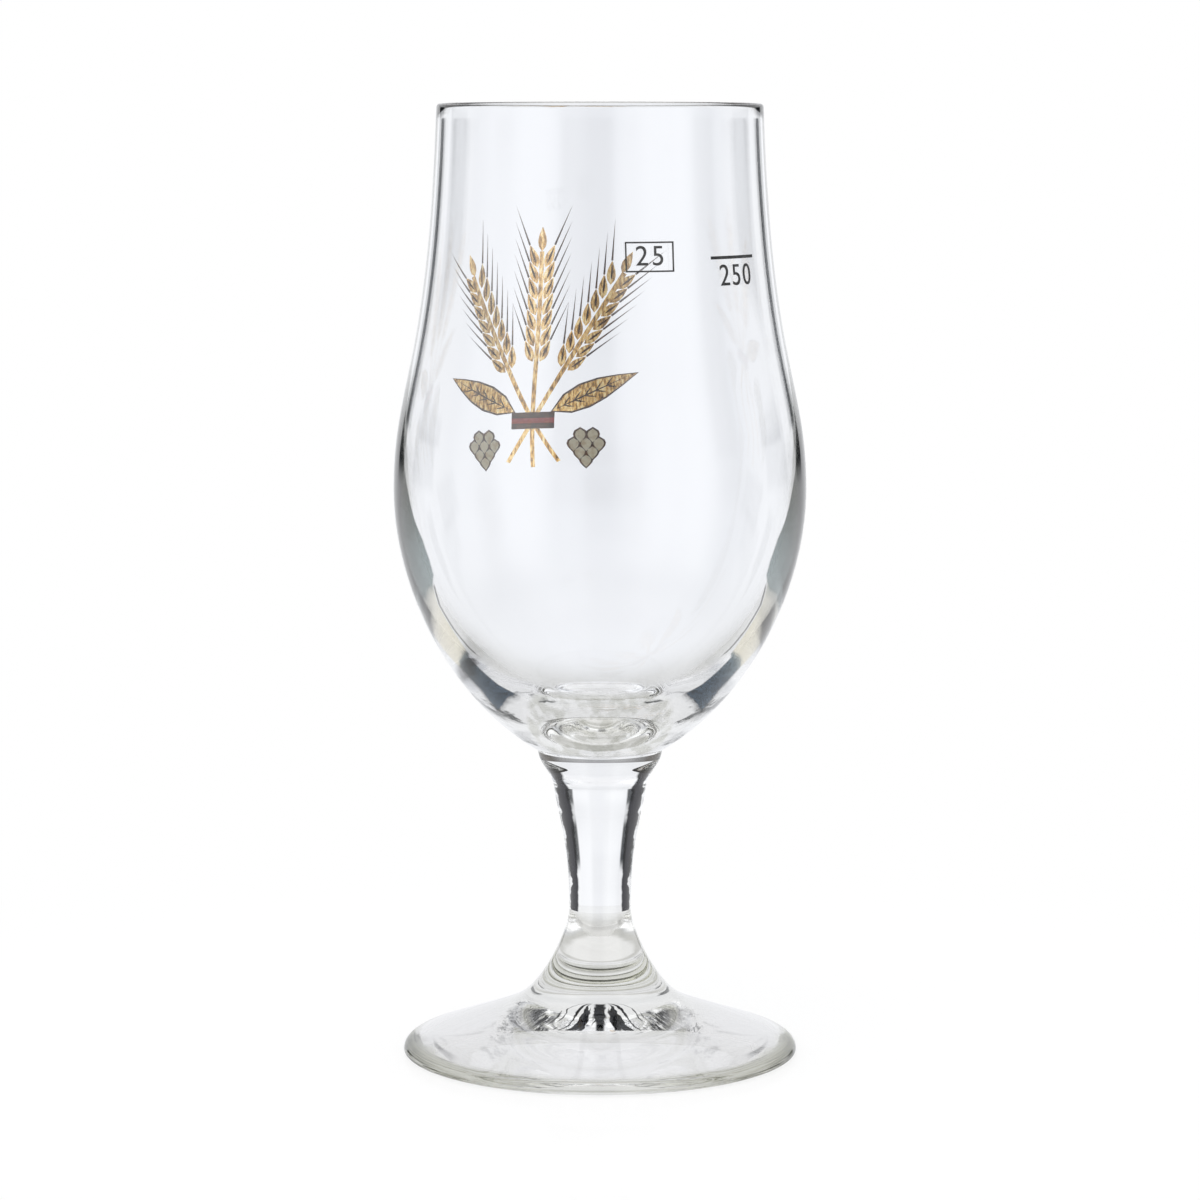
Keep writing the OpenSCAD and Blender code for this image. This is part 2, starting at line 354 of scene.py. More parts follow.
def graded(tree, value, stops):
    """A colour that changes with a value: stops are pairs of that value and a colour."""
    low = stops[0][0]
    high = stops[-1][0]
    share = add(tree, "ShaderNodeMapRange", value, low, high).outputs[0]
    ramp = add(tree, "ShaderNodeValToRGB", share)
    elements = ramp.color_ramp.elements
    for at, colour in stops[1:-1]:
        elements.new((at - low) / (high - low)).color = (*colour, 1)
    for element, (at, colour) in ((elements[0], stops[0]), (elements[-1], stops[-1])):
        element.position = (at - low) / (high - low)
        element.color = (*colour, 1)
    return ramp.outputs["Color"]


def limit(tree, value, pairs):
    """A number that changes with a value: pairs are that value and the number."""
    return graded(tree, value, [(at, (number, number, number)) for at, number in pairs])


def vector(tree, x, y, z):
    """A vector from its three parts."""
    return add(tree, "ShaderNodeCombineXYZ", x, y, z).outputs[0]


def spot(tree):
    """Object coordinates."""
    return add(tree, "ShaderNodeTexCoord").outputs["Object"]


def place(tree):
    """Object coordinates as x, y, z and the distance from the glass's axis."""
    x, y, z = add(tree, "ShaderNodeSeparateXYZ", spot(tree)).outputs
    radius = maths(tree, "SQRT", maths(tree, "ADD", product(tree, x, x), product(tree, y, y)))
    return x, y, z, radius


def in_mm(tree, length):
    """A length in millimetres."""
    return maths(tree, "DIVIDE", length, MM)


def noise(tree, at, scale, detail=2):
    """Smooth random values about a half."""
    return feed(tree, add(tree, "ShaderNodeTexNoise"), Vector=at, Scale=scale, Detail=detail).outputs[0]


def bumped(tree, height, depth, below=None):
    """A normal that follows a height between nought and one, as deep as the given length."""
    made = feed(tree, add(tree, "ShaderNodeBump"), Height=height, Distance=depth, Strength=1)
    if below:
        tree.links.new(below, made.inputs["Normal"])
    return made.outputs[0]


def surface(tree, kind):
    """What the surface says of itself at the place that is seen, such as its true normal."""
    return add(tree, "ShaderNodeNewGeometry").outputs[kind]


def ray(tree, kind):
    """What is known of the ray that looks, such as how often it was thrown back."""
    return add(tree, "ShaderNodeLightPath").outputs[kind]


def not_yet(tree, kind):
    """One where a depth of the ray is still nought, and nought where it isn't."""
    return maths(tree, "LESS_THAN", ray(tree, kind), 0.5)


def from_outside(tree):
    """One where the glass is seen from outside it, and nought from inside."""
    return less(tree, surface(tree, "Backfacing"))


def outward(tree):
    """One on faces that look away from the axis, and nought on those that look towards it."""
    x, y = place(tree)[:2]
    across = vector(tree, x, y, 0)
    dot = add(tree, "ShaderNodeVectorMath", surface(tree, "True Normal"), across, operation="DOT_PRODUCT")
    return maths(tree, "GREATER_THAN", dot.outputs["Value"], 0)


# Keeps the division in the next function sound when the glass is seen from straight above
LEAST_LEVEL = 0.01


def turned_away(tree):
    """How far an upright wall has turned from the viewer, nought to one, from whatever height it is seen."""
    facing = add(tree, "ShaderNodeLayerWeight").outputs["Facing"]
    level_face = feed(tree, add(tree, "ShaderNodeLayerWeight"), Normal=vector(tree, 0, 0, 1))
    steep = less(tree, level_face.outputs["Facing"])
    level = maths(tree, "MAXIMUM", less(tree, product(tree, steep, steep)), LEAST_LEVEL)
    towards = maths(tree, "DIVIDE", less(tree, facing), maths(tree, "SQRT", level))
    return maths(tree, "SUBTRACT", 1, towards, use_clamp=True)


def material(name):
    """A new material with its node tree and its shader."""
    made = bpy.data.materials.new(name)
    made.use_nodes = True
    return made, made.node_tree, made.node_tree.nodes["Principled BSDF"]


def output(tree):
    """Where the material's finished shader goes in."""
    return tree.nodes["Material Output"].inputs["Surface"]


# Clear soda-lime glass
GLASS_TINT = (0.975, 0.98, 0.99)
GLASS_IOR = 1.52
# Fresnel share over which the glass throws all light back
TOTAL_SHARE = 0.995
# What is left of a lamp's light behind one wall of glass
LAMP_SHADE = (0.9, 0.91, 0.92)


def glass(name, shaded_tint, relief, painted_reflection=None):
    """Clear glass. The tints paint shade into what comes in from outside, and a colour of painted reflection
    onto what the inside throws back.

    Each is a function that takes the node tree and gives a colour, and relief gives a normal.
    Lamps shine through with a faint shade.
    """
    made, tree, shader = material(name)
    normal = relief(tree)
    feed(tree, shader, Base_Color=(*GLASS_TINT, 1), Roughness=0, IOR=GLASS_IOR, Transmission_Weight=1)
    feed(tree, shader, Base_Color=shaded_tint(tree), Normal=normal)
    dressed = shader
    # Painted reflection: where the inside throws all light back, the mirror takes a painted colour
    if painted_reflection:
        mirror = add(tree, "ShaderNodeBsdfAnisotropic", painted_reflection(tree), 0)
        fresnel = add(tree, "ShaderNodeFresnel", GLASS_IOR)
        for node in (mirror, fresnel):
            tree.links.new(normal, node.inputs["Normal"])
        total = maths(tree, "GREATER_THAN", fresnel.outputs[0], TOTAL_SHARE)
        share = product(tree, total, surface(tree, "Backfacing"), not_yet(tree, "Diffuse Depth"))
        dressed = add(tree, "ShaderNodeMixShader", share, shader.outputs[0], mirror.outputs[0])
    shade = add(tree, "ShaderNodeBsdfTransparent", (*LAMP_SHADE, 1))
    lamp_ray = ray(tree, "Is Shadow Ray")
    lit = add(tree, "ShaderNodeMixShader", lamp_ray, dressed.outputs[0], shade.outputs[0])
    tree.links.new(lit.outputs[0], output(tree))
    return made


# Painted reflection: tones given to what the bowl's inside throws back, at heights in millimetres, with a
# painted olive shade over the belly
BOWL_REFLECTION_TONES = [
    (60, (0.97, 0.97, 0.97)), (100, (0.97, 0.97, 0.97)), (106, (0.85, 0.85, 0.83)),
    (114, (0.5, 0.5, 0.48)), (128, (1, 1, 1))]

# Painted shade and reflected tones in bands near the bowl's sides, in place of what its thick glass shows
# there. Pairs of a height in millimetres and how far the wall has turned away there say where the bands
# begin and end, and where a painted dark line runs inside them.
BAND_START = [
    (69, 0.41), (71.5, 0.488), (74.4, 0.528), (76.3, 0.55), (77, 0.53), (85.8, 0.575), (89.5, 0.55),
    (91.4, 0.514), (94.1, 0.512), (97.6, 0.531), (100.9, 0.577), (105.2, 0.623), (109.5, 0.678),
    (114.7, 0.73), (128, 0.85)]
BAND_START_SOFT = 0.008
BAND_END = [(64, 0.74), (69.7, 0.685), (73.6, 0.725), (77, 0.82), (82, 0.9), (128, 0.97)]
BAND_END_SOFT = 0.03
EDGE_LINE = [(76, 0.46), (78.2, 0.501), (81.4, 0.535), (85.8, 0.561), (90, 0.536)]
EDGE_LINE_WIDTH = (-0.006, 0.008)
EDGE_LINE_SOFT = 0.004
EDGE_LINE_HEIGHTS = (77, 89.5)
EDGE_LINE_FADE = 0.6
EDGE_LINE_SHADE = (0.12, 0.12, 0.12)

# The bands' painted slate, cream and olive tones of shade and reflected light follow the height, and lean by
# this much as the wall turns away
BAND_LEAN = 18
BAND_PAINTED_TONES = [
    (70, (1, 1, 1)), (77.2, (1, 1, 1)), (78.2, (0.005, 0.011, 0.022)), (82, (0.006, 0.012, 0.022)),
    (86, (0.02, 0.034, 0.045)), (86.9, (0.1, 0.13, 0.13)), (87.6, (0.8, 0.73, 0.53)),
    (92, (0.86, 0.78, 0.57)), (97.6, (0.84, 0.8, 0.67)), (99.6, (0.14, 0.18, 0.18)),
    (104, (0.09, 0.12, 0.12)), (110, (0.035, 0.045, 0.042)), (118, (0.012, 0.014, 0.01)),
    (128, (0.02, 0.02, 0.018)), (140, (0.3, 0.3, 0.29))]
# How far the borders between the tones waver, in millimetres, and how finely
TONE_WAVER = 1.6
TONE_WAVER_SCALE = 260

# Painted mottled shade over the stem, whose side edge is given as the bands' edges are
RING_END = [(58, 0.75), (60, 0.71), (65, 0.536), (70, 0.387), (72, 0.33)]
RING_END_SOFT = (-0.01, 0.02)
RING_HEIGHTS = (57, 70.5)
RING_FADE = 0.7
RING_DARK = (0.55, 0.55, 0.49)
RING_PALE = (0.93, 0.93, 0.9)
MOTTLE_SCALE = 380
MOTTLE_STRETCH = 0.25
MOTTLE_CONTRAST = (0.4, 0.6)

# Slow waves all over the bowl, and folds over the stem
WAVE_SCALE = 45
WAVE_DEPTH = 0.015 * MM
FOLD_SCALE = 170
FOLD_STRETCH = 0.4
FOLD_DEPTH = 0.05 * MM
FOLD_TOP = (63.5 * MM, 66.5 * MM)


def bowl_painted_reflection(tree):
    """Painted olive shade over the belly, on what the bowl's inside throws back."""
    return graded(tree, in_mm(tree, place(tree)[2]), BOWL_REFLECTION_TONES)


def side_bands(tree, z, away):
    """How much of a painted shade band there is, and its colour."""
    begun = maths(tree, "SUBTRACT", away, limit(tree, z, BAND_START))
    ended = maths(tree, "SUBTRACT", limit(tree, z, BAND_END), away)
    band = product(
        tree,
        step_up(tree, begun, -BAND_START_SOFT, BAND_START_SOFT),
        step_up(tree, ended, -BAND_END_SOFT, BAND_END_SOFT))
    waver = noise(tree, spot(tree), TONE_WAVER_SCALE, 3)
    ragged = maths(tree, "MULTIPLY_ADD", waver, TONE_WAVER, maths(tree, "SUBTRACT", z, TONE_WAVER / 2))
    level = maths(tree, "MULTIPLY_ADD", away, BAND_LEAN, ragged)
    return band, graded(tree, level, BAND_PAINTED_TONES)


def edge_line(tree, z, away):
    """How much there is of the painted dark shade line inside the lower bands."""
    off_line = maths(tree, "SUBTRACT", away, limit(tree, z, EDGE_LINE))
    return product(
        tree,
        window(tree, off_line, *EDGE_LINE_WIDTH, EDGE_LINE_SOFT),
        window(tree, z, *EDGE_LINE_HEIGHTS, EDGE_LINE_FADE))


def mottled_shade_ring(tree, z, away):
    """How much of the painted mottled shade over the stem there is, and its colour."""
    x, y, height = place(tree)[:3]
    drawn_out = vector(tree, x, y, product(tree, height, MOTTLE_STRETCH))
    mottle = step_up(tree, noise(tree, drawn_out, MOTTLE_SCALE, 3), *MOTTLE_CONTRAST)
    before_end = maths(tree, "SUBTRACT", limit(tree, z, RING_END), away)
    ring = product(
        tree, step_up(tree, before_end, *RING_END_SOFT), window(tree, z, *RING_HEIGHTS, RING_FADE))
    return ring, blended(tree, mottle, RING_DARK, RING_PALE)


def bowl_tint_and_shade(tree):
    """Clear glass with painted shade: a band at each side, a dark line inside it, and mottled patches over
    the stem.
    """
    z = in_mm(tree, place(tree)[2])
    away = turned_away(tree)
    outside = product(tree, outward(tree), from_outside(tree))
    band, band_tone = side_bands(tree, z, away)
    ring, ring_tone = mottled_shade_ring(tree, z, away)
    painted_shade = blended(tree, product(tree, band, outside), GLASS_TINT, band_tone)
    line = product(tree, edge_line(tree, z, away), outside)
    painted_shade = blended(tree, line, painted_shade, EDGE_LINE_SHADE)
    return blended(tree, product(tree, ring, outside), painted_shade, ring_tone)


def bowl_relief(tree):
    """Slow waves of blown glass, and folds over the stem."""
    x, y, z = place(tree)[:3]
    waves = bumped(tree, noise(tree, spot(tree), WAVE_SCALE, 1), WAVE_DEPTH)
    folds = noise(tree, vector(tree, x, y, product(tree, z, FOLD_STRETCH)), FOLD_SCALE)
    return bumped(tree, product(tree, folds, step_down(tree, z, *FOLD_TOP)), FOLD_DEPTH, waves)


# Painted dark bands of shade near the stem's sides. Their inner and outer edges say how far the wall has
# turned away, and waver.
STEM_BAND_FROM = 0.29
STEM_BAND_FROM_SOFT = 0.025
STEM_BAND_FROM_WAVER = 0.12
STEM_BAND_TO = 0.72
STEM_BAND_TO_SOFT = 0.03
STEM_BAND_SHADE = (0.001, 0.001, 0.0015)
# Middle value of the ripple of their outer edge
RIPPLE_MIDDLE = 0.46
RAGGED_SCALE = 420
RIPPLE_SCALE = 260
# Where the bands fade out at the top, and where the collar shifts them towards the sides
STEM_BAND_TOP = (53.8 * MM, 54.6 * MM)
COLLAR_HEIGHTS = (51 * MM, 55.4 * MM)
COLLAR_SOFT = 1.2 * MM
COLLAR_SHIFT = 0.2
# Painted dark shade line under the seam, and how much thicker and darker it gets towards the sides
SEAM_SHADE_COLOUR = (0.02, 0.017, 0.014)
SEAM_DROP = 0.15 * MM
SEAM_H = 0.6 * MM
SEAM_GROWTH = 1 * MM
SEAM_DARKNESS = 0.8
SEAM_DARKENING = 0.5
# Rings of the press near the stem's top
PRESS_RING_SCALE = 700
PRESS_RING_DEPTH = 0.008 * MM
PRESS_RINGS_FROM = (43 * MM, 50 * MM)


def stem_bands(tree, z, away):
    """How much of the stem's painted dark bands of shade there is."""
    along_axis = vector(tree, 0, 0, z)
    ragged = noise(tree, along_axis, RAGGED_SCALE, 3)
    ripple = noise(tree, along_axis, RIPPLE_SCALE, 4)
    shift = product(tree, window(tree, z, *COLLAR_HEIGHTS, COLLAR_SOFT), COLLAR_SHIFT)
    shift = maths(tree, "ADD", shift, STEM_BAND_FROM_WAVER / 2)
    inner = maths(tree, "MULTIPLY_ADD", ragged, STEM_BAND_FROM_WAVER, maths(tree, "SUBTRACT", away, shift))
    outer = maths(tree, "ADD", ripple, maths(tree, "SUBTRACT", inner, RIPPLE_MIDDLE))
    return product(
        tree,
        step_up(tree, inner, STEM_BAND_FROM - STEM_BAND_FROM_SOFT, STEM_BAND_FROM + STEM_BAND_FROM_SOFT),
        step_down(tree, outer, STEM_BAND_TO - STEM_BAND_TO_SOFT, STEM_BAND_TO + STEM_BAND_TO_SOFT),
        step_down(tree, z, *STEM_BAND_TOP))


def seam_shade_line(tree, z, away):
    """How much of the painted dark shade line under the seam there is."""
    low = maths(tree, "MULTIPLY_ADD", away, -SEAM_GROWTH, JOINT_Z - SEAM_DROP - SEAM_H)
    line = product(
        tree, maths(tree, "LESS_THAN", z, JOINT_Z - SEAM_DROP), maths(tree, "GREATER_THAN", z, low))
    darkness = maths(tree, "MULTIPLY_ADD", away, SEAM_DARKENING, SEAM_DARKNESS)
    return maths(tree, "MULTIPLY", line, darkness, use_clamp=True)


def stem_tint_and_shade(tree):
    """Glass with painted shade in a dark band near each side, and in a line under the seam."""
    z = place(tree)[2]
    away = turned_away(tree)
    outside = from_outside(tree)
    bands = product(tree, stem_bands(tree, z, away), outside)
    painted_shade = blended(tree, bands, GLASS_TINT, STEM_BAND_SHADE)
    return blended(tree, product(tree, seam_shade_line(tree, z, away), outside), painted_shade, SEAM_SHADE_COLOUR)


def stem_relief(tree):
    """Faint rings of the press near the stem's top."""
    z = place(tree)[2]
    rings = noise(tree, vector(tree, 0, 0, z), PRESS_RING_SCALE, 1)
    return bumped(tree, product(tree, rings, step_up(tree, z, *PRESS_RINGS_FROM)), PRESS_RING_DEPTH)


# Tints of the foot, at distances from the axis in millimetres: painted grey shade from outside, deepest at
# the rim, and painted olive reflection from inside
FLARE_SHADED_TINT = (0.865, 0.865, 0.85)
PLATE_SHADED_TINT = (0.882, 0.877, 0.873)
RIM_SHADED_TINT = (0.74, 0.74, 0.705)
FOOT_SHADE_TONES = [(16, FLARE_SHADED_TINT), (22, PLATE_SHADED_TINT), (33.5, PLATE_SHADED_TINT), (34.6, RIM_SHADED_TINT), (36, RIM_SHADED_TINT)]
FOOT_REFLECTION_TONES = [(31, (0.99, 0.99, 0.99)), (33.5, (0.9, 0.9, 0.87)), (36, (0.76, 0.76, 0.71))]

# Painted dark folds of shade under the foot's front half, in what the underside throws back inside the
# glass. Its folds fan out like bells inside each other. Reaches and widths are shares of its length and of
# half its width.
FAN_SHADE_COLOUR = (0.01, 0.011, 0.014)
FAN_SHADE_START = 0.8 * MM
FAN_SHADE_LEN = 14.6 * MM
FAN_SHADE_HALF_W = 13.2 * MM
FAN_SHADE_TOP = HOLLOW_H + 1 * MM
FAN_SHADE_WOBBLE_SCALE = 230
LEAST_REACH = 0.001
BELL_TOP_W = 0.68
BELL_TOP_POWER = 0.35
BELL_FOOT_W = 0.4
BELL_FOOT_POWER = 4
BELL_EDGE = (0.93, 1.03)
BELL_REACH = (0, 0.98)
BELL_REACH_SOFT = 0.04
MIDDLE_FOLD = (0.035, 0.07)
# How much the scar's outline bows back at its sides, and wavers
BOW = 0.35
BOW_WAVER = 0.24
# Folds of the bells: how many, how much they waver and run on, and how dark they get
BELL_FOLDS = 6.5
BELL_FOLD_WAVER = 1.8
BELL_FOLD_STRETCH = 0.8
BELL_FOLD_SCALE = 1.3
BELL_FOLD_CONTRAST = (0.49, 0.53)
# Cuts the random pattern at a level where the folds look well spread
FOLD_LEVEL = 3.7
# Dark flanks on both sides, with clear threads in them, that fade towards their outer ends
FLANK_W = (0.68, 1.14)
FLANK_W_SOFT = 0.04
FLANK_WAVER = 0.5
FLANK_REACH = (0.42, 1.16)
FLANK_REACH_SOFT = 0.07
FLANK_FADE = (0.78, 1)
FLANK_FADING = 0.65
THREAD_SCALE = 2.6
THREAD_WIDTH = (0.012, 0.03)


def painted_fan_shade(tree):
    """One in the painted dark folds of shade on the foot's underside, and nought elsewhere."""
    x, y, z = place(tree)[:3]
    ahead = maths(tree, "DIVIDE", maths(tree, "SUBTRACT", product(tree, y, -1), FAN_SHADE_START), FAN_SHADE_LEN)
    side = maths(tree, "DIVIDE", maths(tree, "ABSOLUTE", x), FAN_SHADE_HALF_W)
    wobble = noise(tree, spot(tree), FAN_SHADE_WOBBLE_SCALE)

    reach = maths(tree, "MAXIMUM", ahead, LEAST_REACH)
    bell_top = product(tree, maths(tree, "POWER", reach, BELL_TOP_POWER), BELL_TOP_W)
    bell_foot = maths(tree, "POWER", reach, BELL_FOOT_POWER, use_clamp=True)
    across = maths(tree, "DIVIDE", side, maths(tree, "MULTIPLY_ADD", bell_foot, BELL_FOOT_W, bell_top))
    bowed = maths(tree, "MULTIPLY_ADD", product(tree, side, side), BOW, ahead)
    bowed = maths(tree, "MULTIPLY_ADD", wobble, BOW_WAVER, maths(tree, "SUBTRACT", bowed, BOW_WAVER / 2))

    over_folds = maths(tree, "MULTIPLY_ADD", wobble, BELL_FOLD_WAVER, product(tree, across, BELL_FOLDS))
    fold = vector(tree, over_folds, product(tree, ahead, BELL_FOLD_STRETCH), FOLD_LEVEL)
    folds = step_up(tree, noise(tree, fold, BELL_FOLD_SCALE), *BELL_FOLD_CONTRAST)
    folds = maths(tree, "MAXIMUM", folds, step_down(tree, side, *MIDDLE_FOLD))
    bells = product(
        tree, folds, step_down(tree, across, *BELL_EDGE), window(tree, bowed, *BELL_REACH, BELL_REACH_SOFT))

    wide = maths(tree, "MULTIPLY_ADD", wobble, FLANK_WAVER, maths(tree, "SUBTRACT", side, FLANK_WAVER / 2))
    thread = maths(tree, "ABSOLUTE", maths(tree, "SUBTRACT", noise(tree, fold, THREAD_SCALE), 0.5))
    flanks = product(
        tree,
        window(tree, wide, *FLANK_W, FLANK_W_SOFT),
        window(tree, bowed, *FLANK_REACH, FLANK_REACH_SOFT),
        step_up(tree, thread, *THREAD_WIDTH),
        maths(tree, "MULTIPLY_ADD", step_up(tree, side, *FLANK_FADE), -FLANK_FADING, 1))

    under = maths(tree, "LESS_THAN", z, FAN_SHADE_TOP)
    return product(tree, maths(tree, "MAXIMUM", bells, flanks), under, not_yet(tree, "Glossy Depth"))


def foot_tint_and_shade(tree):
    """Clear glass painted a little darker than the rest as shade, and most so at the rim."""
    return graded(tree, in_mm(tree, place(tree)[3]), FOOT_SHADE_TONES)


def foot_painted_reflection(tree):
    """Painted reflection of the table as a grey olive tone at the foot's rim, and the painted dark folds of
    shade under the foot.
    """
    olive = graded(tree, in_mm(tree, place(tree)[3]), FOOT_REFLECTION_TONES)
    return blended(tree, painted_fan_shade(tree), olive, FAN_SHADE_COLOUR)


# Rings that the press left on the flare, which get lost in places
FLARE_RING_SCALE = 560
FLARE_RING_STRETCH = 0.25
FLARE_RING_DEPTH = 0.004 * MM
FLARE_RING_HEIGHTS = (12.5 * MM, 19 * MM)
FLARE_RING_FADE = 1.2 * MM
FLARE_RING_GAP_SCALE = 150
# Unevenness of the plate, and marks of the cool mould under the foot's middle
PLATE_WAVE_SCALE = 60
PLATE_WAVE_DEPTH = 0.05 * MM
CHILL_SCALE = 260
CHILL_DEPTH = 0.12 * MM
CHILL_EDGE = (12 * MM, 22 * MM)


def foot_relief(tree):
    """Rings on the flare, and unevenness of the plate and of the underside's middle."""
    x, y, z, radius = place(tree)
    drawn_out = [product(tree, value, FLARE_RING_STRETCH) for value in (x, y)]
    rings = product(
        tree,
        noise(tree, vector(tree, *drawn_out, z), FLARE_RING_SCALE, 3),
        window(tree, z, *FLARE_RING_HEIGHTS, FLARE_RING_FADE),
        noise(tree, spot(tree), FLARE_RING_GAP_SCALE))
    up = add(tree, "ShaderNodeSeparateXYZ", surface(tree, "True Normal")).outputs[2]
    chill = product(
        tree,
        noise(tree, spot(tree), CHILL_SCALE),
        maths(tree, "LESS_THAN", up, 0),
        step_down(tree, radius, *CHILL_EDGE))
    plate = bumped(tree, noise(tree, spot(tree), PLATE_WAVE_SCALE, 1), PLATE_WAVE_DEPTH)
    return bumped(tree, rings, FLARE_RING_DEPTH, bumped(tree, chill, CHILL_DEPTH, plate))


def contact():
    """Where two pieces are fused, light goes straight on."""
    made, tree, shader = material("fused_contact")
    tree.nodes.remove(shader)
    clear = add(tree, "ShaderNodeBsdfTransparent")
    tree.links.new(clear.outputs["BSDF"], output(tree))
    return made


contact_mat = contact()
wall = outer_wall()
bowl = turned("glass_bowl", wall + [Vector((0, 0, JOINT_Z))] + cavity()[::-1] + lip())
stem = turned("glass_stem", stem_outline() + [Vector((0, 0, WAIST_Z)), Vector((0, 0, JOINT_Z))])
foot = turned("glass_foot", foot_outline() + [Vector((0, 0, WAIST_Z))])
for piece, node, heights, finish in (
        (bowl, "bowl", (JOINT_Z,), glass("bowl_glass", bowl_tint_and_shade, bowl_relief, bowl_painted_reflection)),
        (stem, "stem", (JOINT_Z, WAIST_Z), glass("stem_glass", stem_tint_and_shade, stem_relief)),
        (foot, "foot", (WAIST_Z,), glass("foot_glass", foot_tint_and_shade, foot_relief, foot_painted_reflection))):
    piece.data.materials.append(finish)
    piece.data.materials.append(contact_mat)
    fuse(piece, heights)
    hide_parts(node)

# Prints. Directions are in degrees from +X, and places on a print are across it and up it.
FILL_Z = GLASS_H - 26.75 * MM
FIGURES_TURN = 319.5
FIGURES_DROP = 3.3 * MM
FIGURE_H = 3.9 * MM
FIGURE_GAP = 1.15
# Height of a figure as a share of its type's size
FIGURE_SHARE = 0.73
FRAME_TURN = 286.2
FRAME_Z = 148.4 * MM
FRAME_W = 8.9 * MM
FRAME_H = 5.3 * MM
FRAME_LINE = 0.28 * MM
FRAME_STEPS = 12
FRAME_FIGURE_H = 3.6 * MM
FRAME_FIGURE_GAP = 1.2
SHEAF_TURN = 111
TIE_Z = BELLY_Z + 9.2 * MM
TIE_W = 9 * MM
STRAW_LEN = 12 * MM
GRAIN_PAIRS = 7
GRAIN_STEP = 3 * MM
GRAIN_LEN = 4.6 * MM
GRAIN_TURN = 24
GRAIN_GAP = 0.75 * MM
EAR_SPREAD = 29
LEAF_LEN = 17.5 * MM
LEAF_SPREAD = 64
# How far a drawn line reaches into the wall and out of it
LINE_SINK = 0.03 * MM
LINE_RISE = 0.085 * MM
# Line down every grain, which starts a little up the grain and beside the ear's own line
RIB_W = 0.42 * MM
RIB_FROM = 0.2 * GRAIN_LEN
RIB_LEN = 0.7 * GRAIN_LEN
RIB_ASIDE = 1.6 * GRAIN_GAP
# Veins of a leaf: one along it, and pairs that branch off
VEIN_W = 0.3 * MM
VEIN_FROM = 0.05 * LEAF_LEN
VEIN_LEN = 0.88 * LEAF_LEN
BRANCH_PAIRS = 5
BRANCH_FROM = 0.14 * LEAF_LEN
BRANCH_STEP = 0.13 * LEAF_LEN
BRANCH_LEN = 0.13 * LEAF_LEN
BRANCH_TURN = 32
# A pointed oval has its widest place before its middle, and ends of this share of its width
BLADE_STEPS = 6
BLADE_POWER = 0.75
BLADE_END = 0.15
# Turns a drawing that lies flat upright
UPRIGHT = Matrix.Rotation(math.radians(90), 3, "X")


def wall_radius(z):
    """The outer wall's radius at a height."""
    for upper, lower in zip(wall, wall[1:]):
        if z >= lower.z:
            return between(lower.x, upper.x, (z - lower.z) / (upper.z - lower.z))
    return JOINT_R


def bent(name, bm, turn, finish):
    """Bends a flat drawing onto the wall. In the drawing x is across, y is out of the wall and z is up."""
    for vert in bm.verts:
        radius = wall_radius(vert.co.z)
        angle = math.radians(turn) + vert.co.x / radius
        radius += vert.co.y
        vert.co.x = radius * math.cos(angle)
        vert.co.y = radius * math.sin(angle)
    bmesh.ops.recalc_face_normals(bm, faces=bm.faces)
    piece = finished(name, bm)
    piece.data.materials.append(finish)


def thickened(bm):
    """Gives flat faces at y nought the depth of a drawn line."""
    bmesh.ops.translate(bm, verts=bm.verts, vec=(0, LINE_RISE, 0))
    bmesh.ops.recalc_face_normals(bm, faces=bm.faces)
    flat = list(bm.faces)
    made = bmesh.ops.extrude_face_region(bm, geom=flat, use_keep_orig=True)
    moved = [item for item in made["geom"] if isinstance(item, bmesh.types.BMVert)]
    bmesh.ops.translate(bm, verts=moved, vec=(0, -LINE_RISE - LINE_SINK, 0))


def blade(bm, start, lean, length, width):
    """A pointed oval that starts at a place, leaning from upright in degrees."""
    made = bmesh.ops.create_grid(bm, x_segments=1, y_segments=BLADE_STEPS, size=0.5)["verts"]
    for vert in made:
        share = vert.co.y + 0.5
        vert.co.x *= width * max(math.sin(math.pi * share ** BLADE_POWER), BLADE_END)
        vert.co.y = share * length
    bmesh.ops.rotate(bm, verts=made, cent=(0, 0, 0), matrix=UPRIGHT)
    bmesh.ops.rotate(bm, verts=made, cent=(0, 0, 0), matrix=Matrix.Rotation(math.radians(lean), 3, "Y"))
    bmesh.ops.translate(bm, verts=made, vec=(start[0], 0, start[1]))


def on_ear(lean, distance, across=0):
    """A place on the line of an ear that leans from the tie, or beside it."""
    turn = math.radians(lean)
    return (
        distance * math.sin(turn) + across * math.cos(turn),
        TIE_Z + distance * math.cos(turn) - across * math.sin(turn))


def rib_lines():
    """The line down every grain, and the veins of the leaves."""
    bm = bmesh.new()
    for lean in (-EAR_SPREAD, 0, EAR_SPREAD):
        for pair in range(GRAIN_PAIRS):
            for side in (-1, 1):
                start = on_ear(lean, STRAW_LEN + pair * GRAIN_STEP + RIB_FROM, side * RIB_ASIDE)
                blade(bm, start, lean + side * GRAIN_TURN, RIB_LEN, RIB_W)
    for side in (-1, 1):
        spread = side * LEAF_SPREAD
        blade(bm, on_ear(spread, TIE_W / 2 + VEIN_FROM), spread, VEIN_LEN, VEIN_W)
        for pair in range(BRANCH_PAIRS):
            start = on_ear(spread, TIE_W / 2 + BRANCH_FROM + pair * BRANCH_STEP)
            for flank in (-1, 1):
                blade(bm, start, spread + flank * BRANCH_TURN, BRANCH_LEN, VEIN_W)
    thickened(bm)
    return bm


